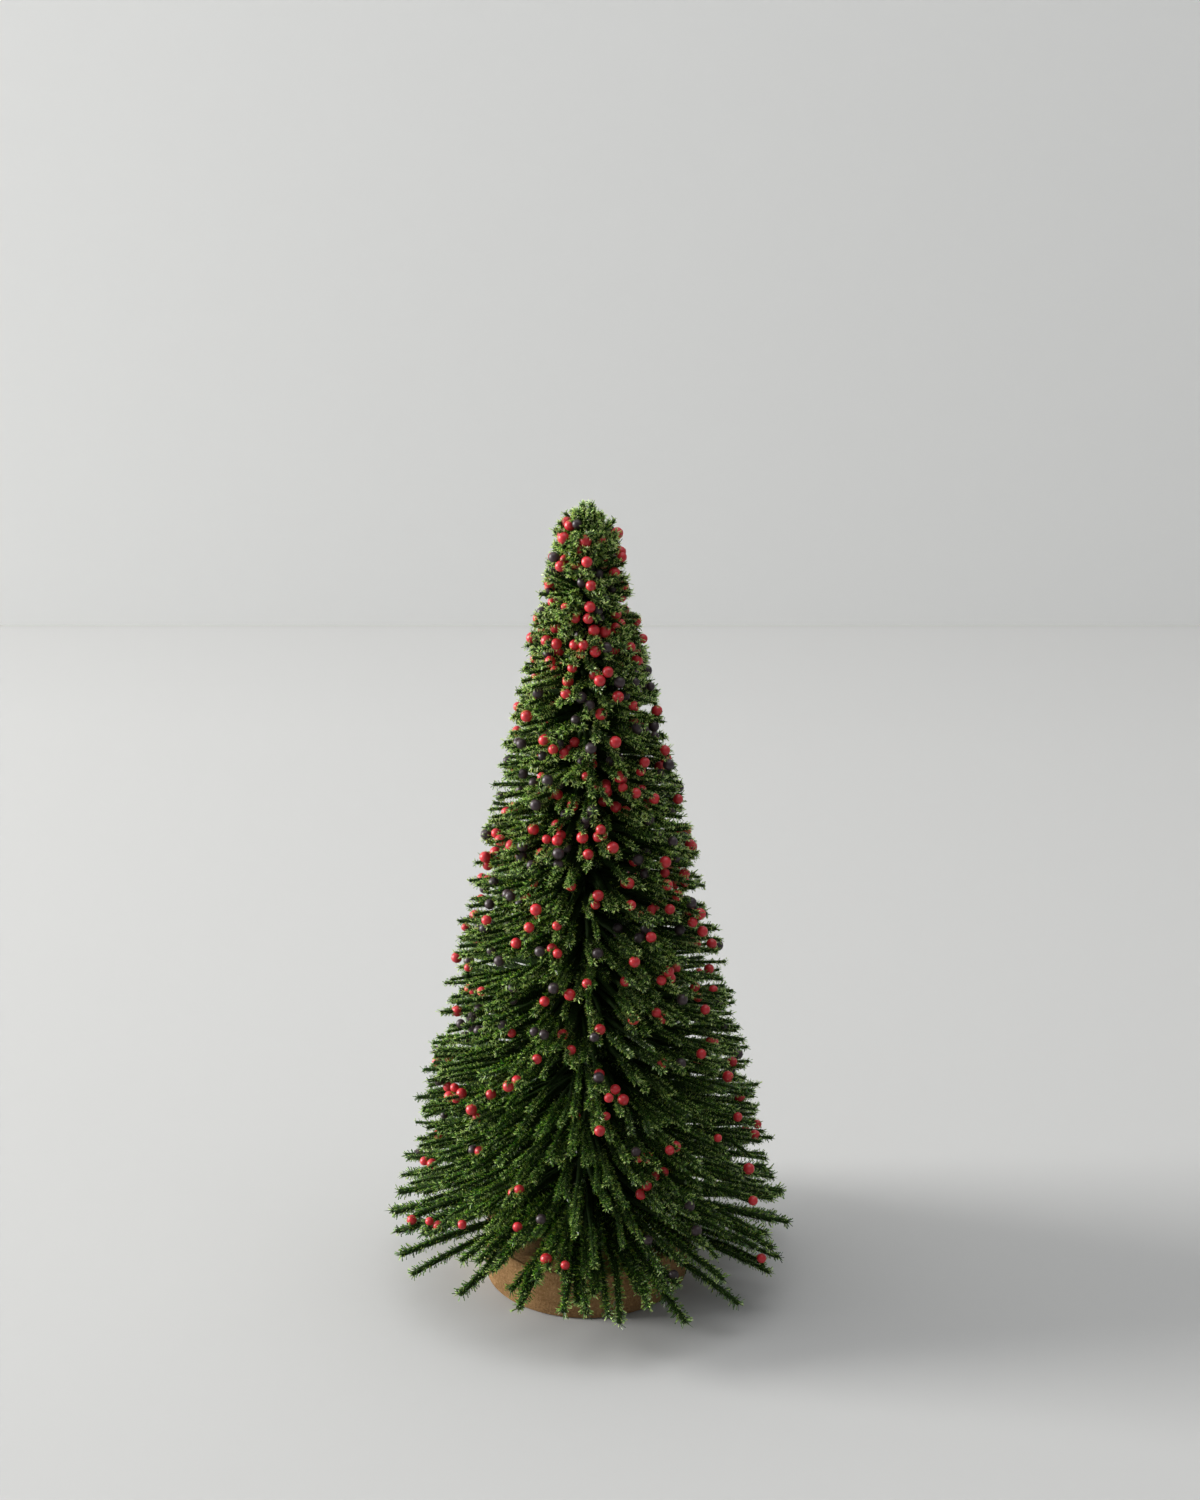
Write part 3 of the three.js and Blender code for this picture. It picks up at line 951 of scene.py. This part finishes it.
def berry_tufts(strands):
    """Tufts for the berries of the solid model that stand off the strands."""
    shown = [strand for strand in strands if not strand.hidden]
    places = yarn_places(shown)
    tufts = []
    for berry in solid_berries():
        foot, index, away = places.find(berry.centre)
        if away > berry.radius + TUFT_GAP:
            tufts.append(BerryTuft(shown[index], foot, berry))
    return tufts


def nearest_berry(place, berries):
    """How far the nearest berry is from a place."""
    return min((berry.centre - place).length for berry in berries)


def holds(berry, places, strands, seat):
    """Whether a berry lies inside the trimmed tree and touches its yarn."""
    place, index, away = places.find(berry.centre)
    past_end = (place - strands[index].point(1)).length < END_REACH
    furthest = berry.radius - END_SINK if past_end else berry.radius + seat
    flat = Vector((berry.centre.x, berry.centre.y, 0)).length
    return flat <= trimmed_radius(berry.centre.z) + berry.radius and away <= furthest


def scattered_berries(sizes):
    """Berries all over the tree, in ones, twos and threes."""
    chance = random.Random(BERRY_SEED)
    shown = [strand for strand in grown_strands() if not strand.hidden]
    strands = [strand for strand in shown if strand.length > SHORTEST_WITH_BERRIES]
    weights = [berry_weight(strand) for strand in strands]
    places = yarn_places(strands)
    berries = solid_berries()
    while len(berries) < sizes.count:
        offered = chance.choices(strands, weights, k=BERRY_TRIES)
        strand = max(offered, key=lambda one: nearest_berry(one.point(1), berries))
        group = [seated_berry(strand, chance, sizes, chance.random() < sizes.dark_share)]
        while chance.random() < sizes.cluster_share and len(group) < LARGEST_CLUSTER:
            group.append(neighbour_berry(group[-1], chance, sizes))
        for berry in group:
            crowded = any(berry.touches(other) for other in berries)
            if holds(berry, places, strands, sizes.seat) and not crowded:
                berries.append(berry)
    return berries


def berry_weight(strand):
    """How many berries a strand attracts: the fewest low on the skirt, and none on the very top."""
    height = strand.point(1).z
    return next(weight for ceiling, weight in BERRY_WEIGHTS if height < ceiling)


def berry_material(name, colour, deep, roughness):
    """Satin paint: each berry a little lighter or darker, with soft blotches and worn specks."""
    material, recipe, surface = shader(name)
    place = recipe.add("ShaderNodeAttribute", attribute_name="berry_place").outputs["Vector"]
    cell = recipe.vector("FLOOR", recipe.scaled(recipe.map_place(), BERRY_SWATCHES))
    blotch = recipe.noise(place, 1.4, 3)
    speck = recipe.noise(place, 6, 2)
    own = recipe.math("MULTIPLY", recipe.dice(cell)["Value"], 0.6)
    mix = recipe.math("ADD", own, recipe.math("MULTIPLY", blotch, 0.6))
    tinted = recipe.mixed(recipe.ranged(mix, 0.15, 0.95), deep, colour)
    recipe.fill(surface, {
        "Base Color": recipe.mixed(recipe.ranged(speck, 0.68, 0.8, 0, 0.5), tinted, deep),
        "Roughness": recipe.ranged(speck, 0.3, 0.7, roughness - 0.06, roughness + 0.1),
        "Normal": recipe.bump(speck, 0.25, 0.1 * MM),
    })
    return material


def berry_mesh(berries, chance):
    """The berries as one bmesh, each mapped to one of a few swatches."""
    bm = bmesh.new()
    layer = bm.verts.layers.float_vector.new("berry_place")
    uv = bm.loops.layers.uv.new(BAKE_MAP)
    for berry in berries:
        made = bmesh.ops.create_icosphere(bm, subdivisions=2, radius=1, calc_uvs=True)["verts"]
        column = chance.randrange(BERRY_SWATCHES)
        row = chance.randrange(BERRY_SWATCHES)
        for vert in made:
            vert[layer] = vert.co + Vector((SWATCH_STEP * column, SWATCH_STEP * row, 0))
            vert.co = berry.centre + vert.co * berry.radius
        for face in {face for vert in made for face in vert.link_faces}:
            face.smooth = True
            for loop in face.loops:
                inside = loop[uv].uv
                loop[uv].uv = ((column + inside.x) / BERRY_SWATCHES, (row + inside.y) / BERRY_SWATCHES)
    return bm


class TREE_OT_berries(Operator):
    """Set the red and the plum-dark berries among the strand ends"""

    bl_idname = "brush_tree.berries"
    bl_label = "Berries"

    def execute(self, context):
        sizes = context.scene.brush_tree_berries
        berries = scattered_berries(sizes)
        chance = random.Random(BERRY_SWATCH_SEED)
        finishes = {
            False: ("red_berries", "red_berry", sizes.red, sizes.deep_red, 0.36),
            True: ("plum_berries", "plum_berry", sizes.plum, sizes.deep_plum, 0.42),
        }
        for dark, (name, slot, colour, deep, roughness) in finishes.items():
            mine = [berry for berry in berries if berry.dark == dark]
            material = berry_material(name, colour, deep, roughness)
            piece = new_piece(name, berry_mesh(mine, chance), material, slot)
            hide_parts(*[berry.node for berry in mine if berry.node])
        return {"FINISHED"}


# Base

def turned(profile):
    """A closed profile of (radius, height) points spun round the tree's axis."""
    bm = bmesh.new()
    verts = [bm.verts.new((radius, 0, height)) for radius, height in profile]
    edges = [bm.edges.new((verts[i - 1], verts[i])) for i in range(len(verts))]
    bmesh.ops.spin(
        bm, geom=verts + edges, cent=(0, 0, 0), axis=(0, 0, 1), dvec=(0, 0, 0),
        angle=FULL_TURN, steps=BASE_SIDES, use_merge=True,
    )
    bmesh.ops.remove_doubles(bm, verts=bm.verts, dist=MERGE_DISTANCE)
    bmesh.ops.recalc_face_normals(bm, faces=bm.faces)
    return settled(bm)


def settled(bm):
    """The same shape with its faces in a fixed order: a spin leaves them in a chance one."""
    bm.verts.index_update()
    faces = []
    for face in bm.faces:
        corners = [vert.index for vert in face.verts]
        first = corners.index(min(corners))
        faces.append(corners[first:] + corners[:first])
    ordered = bmesh.new()
    verts = [ordered.verts.new(vert.co) for vert in bm.verts]
    for corners in sorted(faces):
        ordered.faces.new([verts[corner] for corner in corners]).smooth = True
    bm.free()
    return ordered


def felt_material(base):
    """Short-napped felt: pressed fibres in several browns, with flecks and a soft sheen."""
    material, recipe, surface = shader("brown_felt")
    place = recipe.object_place()
    cloud = recipe.noise(place, 90, 3)
    grain = recipe.noise(place, 900, 4, 0.7)
    fleck = recipe.noise(place, 1700, 1)
    shade = recipe.math("ADD", recipe.math("MULTIPLY", cloud, 0.35), recipe.math("MULTIPLY", grain, 0.65))
    colour = recipe.mixed(recipe.ranged(shade, 0.36, 0.64), base.deep_brown, base.brown)
    height = recipe.math("ADD", grain, recipe.math("MULTIPLY", fleck, 0.5))
    recipe.fill(surface, {
        "Base Color": recipe.mixed(recipe.ranged(fleck, 0.63, 0.75, 0, 0.55), colour, base.pale_brown),
        "Roughness": 0.95,
        "Specular IOR Level": 0.15,
        "Normal": recipe.bump(height, 0.9, 0.4 * MM),
    })
    return material


def nap_recipe(fibre, base, share):
    """Sets short fibres all over a felt surface, each leaning its own way, and clear of the floor."""
    recipe, way_in, way_out = shape_recipe("felt nap")
    sockets = {"Mesh": way_in, "Density": share * base.nap_density / MM**2, "Seed": NAP_SEED}
    spots = recipe.add("GeometryNodeDistributePointsOnFaces", sockets, distribute_method="RANDOM").outputs
    roll = recipe.chance(0, FULL_TURN, 1)
    turn = recipe.aimed(spots["Normal"], recipe.chance(*NAP_LEANS, 2), roll)
    width = recipe.chance(*NAP_WIDTHS, 3)
    length = recipe.varied(base.nap_length, NAP_LENGTH_SHARES, 4)
    height = recipe.part(recipe.add("GeometryNodeInputPosition").outputs[0], 2)
    clear = recipe.math("GREATER_THAN", height, base.nap_length * NAP_FLOOR_SHARE)
    column = recipe.chance(0, SWATCH_END, 7)
    mesh = planted(recipe, fibre, spots["Points"], clear, turn, width, length, column)
    recipe.tree.links.new(mesh, way_out)
    return recipe


def nap_material(base):
    """Felt fibres, each its own brown."""
    material, recipe, surface = shader("brown_felt_nap")
    cell = recipe.vector("FLOOR", recipe.scaled(recipe.map_place(), FIBRE_SWATCHES))
    dice = recipe.add("ShaderNodeSeparateColor", {0: recipe.dice(cell)["Color"]}).outputs
    colour = recipe.mixed(dice[0], base.deep_brown, base.brown)
    recipe.fill(surface, {
        "Base Color": recipe.mixed(recipe.ranged(dice[1], 0.8, 0.95), colour, base.pale_brown),
        "Roughness": 0.9,
        "Specular IOR Level": 0.2,
    })
    return material


class TREE_OT_felt_base(Operator):
    """Cover the base with felt, and finish the wood and the pad under it"""

    bl_idname = "brush_tree.felt_base"
    bl_label = "Felt Base"

    def execute(self, context):
        base = context.scene.brush_tree_base
        felt = felt_material(base)
        fibre = single_fibre()
        nap_finish = nap_material(base)
        covers = (("felt_side_band", band_profile, 1), ("felt_top_disc", disc_profile, TOP_NAP_SHARE))
        for node, make, share in covers:
            cover = new_piece(node.replace("felt", "felted"), turned(make(node)), felt, "brown_felt")
            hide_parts(node)
            nap = new_piece(f"{cover.name}_nap", turned(make(node)), slot="brown_felt")
            followed(nap, nap_recipe(fibre, base, share))
            dress(nap, nap_finish)
            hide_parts(node)
        bpy.data.objects.remove(fibre)
        dress(bpy.data.objects["foot_pad"], felt)
        dress(bpy.data.objects["wooden_base_core"], wood_material(base))
        return {"FINISHED"}


def band_profile(node):
    """The felt band in section, its upper edge rounded."""
    low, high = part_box(node)
    outer = high.x
    inner = outer - FELT_THICKNESS
    angles = [math.radians(90 - 90 * step / FELT_EDGE_STEPS) for step in range(FELT_EDGE_STEPS + 1)]
    edge = [
        (outer - FELT_EDGE_ROUND * (1 - math.sin(turn)), high.z - FELT_EDGE_ROUND * (1 - math.cos(turn)))
        for turn in angles
    ]
    foot = [(inner, low.z), (outer - FELT_FOOT_CHAMFER, low.z), (outer, low.z + FELT_FOOT_CHAMFER)]
    return [*foot, *edge, (inner, high.z)]


def disc_profile(node):
    """The felt disc on the base in section, round the stem's bore."""
    low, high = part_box(node)
    rim = [(high.x, low.z), (high.x, high.z - DISC_CHAMFER), (high.x - DISC_CHAMFER, high.z)]
    return [(BORE_RADIUS, low.z), *rim, (BORE_RADIUS, high.z)]


def wood_material(base):
    """Turned wood: year rings round a slightly off heart, with fine pores."""
    material, recipe, surface = shader("wood")
    place = recipe.object_place()
    warp = recipe.add("ShaderNodeTexNoise", {"Vector": place, "Scale": 40, "Detail": 2}).outputs["Color"]
    bent = recipe.vector("ADD", place, recipe.scaled(warp, 6 * MM))
    rings = recipe.add(
        "ShaderNodeTexWave", {"Vector": bent, "Scale": 120, "Distortion": 1.5},
        wave_type="RINGS", rings_direction="X",
    ).outputs["Fac"]
    pores = recipe.noise(place, 700, 3)
    colour = recipe.mixed(rings, base.wood, dimmed(base.wood, 0.65))
    recipe.fill(surface, {
        "Base Color": recipe.mixed(recipe.ranged(pores, 0.62, 0.7, 0, 0.5), colour, dimmed(base.wood, 0.4)),
        "Roughness": recipe.ranged(pores, 0.3, 0.7, 0.5, 0.8),
    })
    return material


def steel_material(base):
    """Drawn steel wire with dark tarnish, its colour far darker than bare steel as painted shade deep inside
    the yarn.
    """
    material, recipe, surface = shader("steel_wire")
    tarnish = recipe.noise(recipe.object_place(), 500, 3)
    recipe.fill(surface, {
        "Base Color": recipe.mixed(recipe.ranged(tarnish, 0.35, 0.7), base.steel, dimmed(base.steel, 0.45)),
        "Roughness": recipe.ranged(tarnish, 0.3, 0.7, 0.3, 0.55),
        "Metallic": 1,
    })
    return material


def glue_material(base):
    """Set glue, uneven in colour and surface."""
    material, recipe, surface = shader("glue")
    cloud = recipe.noise(recipe.object_place(), 400, 2)
    recipe.fill(surface, {
        "Base Color": recipe.mixed(recipe.ranged(cloud, 0.35, 0.65), base.glue, dimmed(base.glue, 0.75)),
        "Roughness": 0.3,
        "Normal": recipe.bump(cloud, 0.4, 0.2 * MM),
    })
    return material


class TREE_OT_stem(Operator):
    """Finish the two twisted stem wires and the glue that holds them"""

    bl_idname = "brush_tree.stem"
    bl_label = "Stem"

    def execute(self, context):
        base = context.scene.brush_tree_base
        steel = steel_material(base)
        for node in ("stem_wire_a", "stem_wire_b"):
            dress(bpy.data.objects[node], steel)
        dress(bpy.data.objects["glue_plug"], glue_material(base))
        return {"FINISHED"}


# Stage

def plaster_material(name, colour, one_sided):
    """Plain pale plaster. A one-sided sheet lets a view from behind it through."""
    material, recipe, surface = shader(name)
    recipe.fill(surface, {"Base Color": opaque(colour), "Roughness": 0.9, "Specular IOR Level": 0.1})
    if one_sided:
        behind = recipe.add("ShaderNodeNewGeometry").outputs["Backfacing"]
        clear = recipe.add("ShaderNodeBsdfTransparent").outputs[0]
        sides = recipe.add("ShaderNodeMixShader", {0: behind, 1: surface.outputs[0], 2: clear}).outputs[0]
        recipe.fill(material.node_tree.nodes["Material Output"], {"Surface": sides})
    return material


def sheet_of(name, near, far, colour):
    """A flat sheet of the stage, between its near and its far edge, each a depth and a height."""
    bm = bmesh.new()
    corners = (
        (STAGE_LEFT, *near), (STAGE_RIGHT, *near),
        (STAGE_RIGHT, *far), (STAGE_LEFT, *far),
    )
    bm.faces.new([bm.verts.new(corner) for corner in corners])
    new_piece(name, bm, plaster_material(f"{name}_plaster", colour, name == "wall"))


def soft_lamp(name, place, target, size, colour, power):
    """A large soft lamp that shines at a target."""
    lamp = bpy.data.lights.new(name, "AREA")
    lamp.shape = "RECTANGLE"
    lamp.size, lamp.size_y = size
    lamp.energy = power
    lamp.color = colour
    holder = bpy.data.objects.new(name, lamp)
    holder.location = place
    holder.rotation_euler = (Vector(target) - Vector(place)).to_track_quat("-Z", "Y").to_euler()
    holder.visible_camera = False
    bpy.context.scene.collection.objects.link(holder)


class TREE_OT_stage(Operator):
    """Set the floor, the wall, the lamps and the camera"""

    bl_idname = "brush_tree.stage"
    bl_label = "Stage"

    def execute(self, context):
        stage = context.scene.brush_tree_stage
        scene = context.scene
        corner = (WALL_DISTANCE, 0)
        before_joint = (WALL_DISTANCE - JOINT_WIDTH, JOINT_RISE)
        sheet_of("floor", (-STAGE_DEPTH, 0), corner, stage.floor_colour)
        sheet_of("wall", corner, (WALL_DISTANCE, WALL_HEIGHT), stage.wall_colour)
        # The joint strip is painted shade where the floor meets the wall.
        sheet_of("joint", before_joint, (WALL_DISTANCE, JOINT_RISE), stage.joint_shade_colour)
        sheet_of("back_floor", corner, (STAGE_DEPTH, 0), stage.floor_colour)
        soft_lamp("window_light", *WINDOW_LAMP, stage.window_power)
        soft_lamp("ceiling_light", *CEILING_LAMP, stage.ceiling_power)

        world = bpy.data.worlds.new("pale_room")
        world.use_nodes = True
        background = world.node_tree.nodes["Background"].inputs
        background["Color"].default_value = opaque(stage.room_colour)
        background["Strength"].default_value = stage.room_strength
        scene.world = world

        camera = bpy.data.cameras.new("camera")
        camera.lens = CAMERA_LENS
        camera.sensor_width = CAMERA_SENSOR
        holder = bpy.data.objects.new("camera", camera)
        holder.location = CAMERA_PLACE
        holder.rotation_euler = (CAMERA_TILT, 0, 0)
        scene.collection.objects.link(holder)
        scene.camera = holder
        scene.view_settings.view_transform = "Standard"
        return {"FINISHED"}


def colour_property(name, description, default):
    return FloatVectorProperty(
        name=name, description=description, default=default, subtype="COLOR", min=0, max=1
    )


def length_property(name, description, default):
    return FloatProperty(name=name, description=description, default=default, unit="LENGTH")


def share_property(name, description, default):
    return FloatProperty(
        name=name, description=description, default=default, subtype="FACTOR", min=0, max=1
    )


def power_property(name, description, default):
    return FloatProperty(name=name, description=description, default=default, unit="POWER", min=0)


class BrushTreeYarn(PropertyGroup):
    """Sizes and colours of the yarn"""

    core_diameter: length_property("Core", "Thickness of a strand's heart", 2.2 * MM)
    hidden_diameter: length_property(
        "Hidden Part", "Thickness of a strand where it carries no single fibres", 2.7 * MM)
    fibre_length: length_property("Fibre Length", "Length of a fibre", 1.8 * MM)
    fibre_width: length_property("Fibre Width", "Thickness of a fibre", 0.38 * MM)
    fibres_per_mm: FloatProperty(
        name="Fibres per mm", description="Fibres on each millimetre of a strand", default=9.4, min=1)
    deep_green: colour_property("Deep Green", "The darkest fibres", (0.008, 0.026, 0.002))
    mid_green: colour_property("Green", "Most fibres", (0.049, 0.126, 0.006))
    yellow_green: colour_property("Yellow Green", "A few warm fibres", (0.215, 0.270, 0.022))
    pale_green: colour_property(
        "Pale Green", "The palest fibres, most of them at the strands' tips", (0.500, 0.660, 0.200))


class BrushTreeBerries(PropertyGroup):
    """Sizes and colours of the berries"""

    diameter: length_property("Diameter", "Thickness of a berry", 4 * MM)
    seat: length_property("Seat", "How far a berry stands off its strand's middle", 0.8 * MM)
    count: IntProperty(name="Count", description="Berries on the whole tree", default=760, min=47)
    dark_share: share_property("Dark Share", "Share of plum-dark berries", 0.36)
    cluster_share: share_property("Clusters", "Chance of another berry beside one", 0.4)
    red: colour_property("Red", "The bright side of the red paint", (0.600, 0.024, 0.034))
    deep_red: colour_property("Deep Red", "The dark side of the red paint", (0.400, 0.012, 0.018))
    plum: colour_property("Plum", "The bright side of the plum paint", (0.042, 0.024, 0.029))
    deep_plum: colour_property("Deep Plum", "The dark side of the plum paint", (0.018, 0.010, 0.012))


class BrushTreeBase(PropertyGroup):
    """Sizes and colours of the base and the stem"""

    nap_length: length_property("Nap", "Length of the felt's nap", 0.55 * MM)
    nap_density: FloatProperty(
        name="Nap Density", description="Nap fibres on each square millimetre", default=1.6, min=0)
    brown: colour_property("Brown", "The felt's usual brown", (0.330, 0.195, 0.086))
    deep_brown: colour_property("Deep Brown", "The felt's dark fibres", (0.165, 0.088, 0.032))
    pale_brown: colour_property("Pale Brown", "The felt's pale fibres", (0.460, 0.315, 0.155))
    wood: colour_property("Wood", "The wood of the core", (0.485, 0.275, 0.112))
    # The wire's colour is near black: painted shade for wire deep inside the yarn.
    steel: colour_property("Steel", "The stem's wire", (0.060, 0.075, 0.050))
    glue: colour_property("Glue", "The glue in the bore", (0.687, 0.624, 0.423))


class BrushTreeStage(PropertyGroup):
    """Light and colours of the stage"""

    floor_colour: colour_property("Floor", "Colour of the floor", (0.490, 0.490, 0.483))
    wall_colour: colour_property("Wall", "Colour of the wall", (0.757, 0.761, 0.752))
    # Darker than the floor: painted shade along the floor's joint with the wall.
    joint_shade_colour: colour_property(
        "Joint", "Colour of the joint between floor and wall", (0.480, 0.480, 0.465))
    room_colour: colour_property("Room", "Colour of the room's own light", (0.95, 0.97, 1))
    room_strength: FloatProperty(
        name="Room Light", description="Strength of the room's light", default=0.27, min=0)
    window_power: power_property("Window", "Power of the window light", 258)
    ceiling_power: power_property("Ceiling", "Power of the ceiling light", 28)


class TREE_PT_parts(Panel):
    """Lists what makes the tree, in the order of its making"""

    bl_label = "Bottle-brush Tree"
    bl_idname = "TREE_PT_parts"
    bl_space_type = "VIEW_3D"
    bl_region_type = "UI"
    bl_category = "Tree"

    def draw(self, context):
        for group_name, operators in PARTS:
            box = self.layout.box()
            group = getattr(context.scene, group_name)
            for name in group.__annotations__:
                box.prop(group, name)
            for operator in operators:
                box.operator(operator.bl_idname)


GROUPS = {
    "brush_tree_yarn": BrushTreeYarn,
    "brush_tree_berries": BrushTreeBerries,
    "brush_tree_base": BrushTreeBase,
    "brush_tree_stage": BrushTreeStage,
}
PARTS = (
    ("brush_tree_yarn", (TREE_OT_yarn,)),
    ("brush_tree_berries", (TREE_OT_berries,)),
    ("brush_tree_base", (TREE_OT_felt_base, TREE_OT_stem)),
    ("brush_tree_stage", (TREE_OT_stage,)),
)
OPERATORS = [operator for _, operators in PARTS for operator in operators]
CLASSES = (*GROUPS.values(), *OPERATORS, TREE_PT_parts)


def register():
    for made in CLASSES:
        bpy.utils.register_class(made)
    for name, group in GROUPS.items():
        setattr(bpy.types.Scene, name, PointerProperty(type=group))


def unregister():
    for name in GROUPS:
        delattr(bpy.types.Scene, name)
    for made in reversed(CLASSES):
        bpy.utils.unregister_class(made)


def main():
    register()
    bpy.ops.brush_tree.yarn()
    bpy.ops.brush_tree.berries()
    bpy.ops.brush_tree.felt_base()
    bpy.ops.brush_tree.stem()
    bpy.ops.brush_tree.stage()


if __name__ == "__main__":
    main()
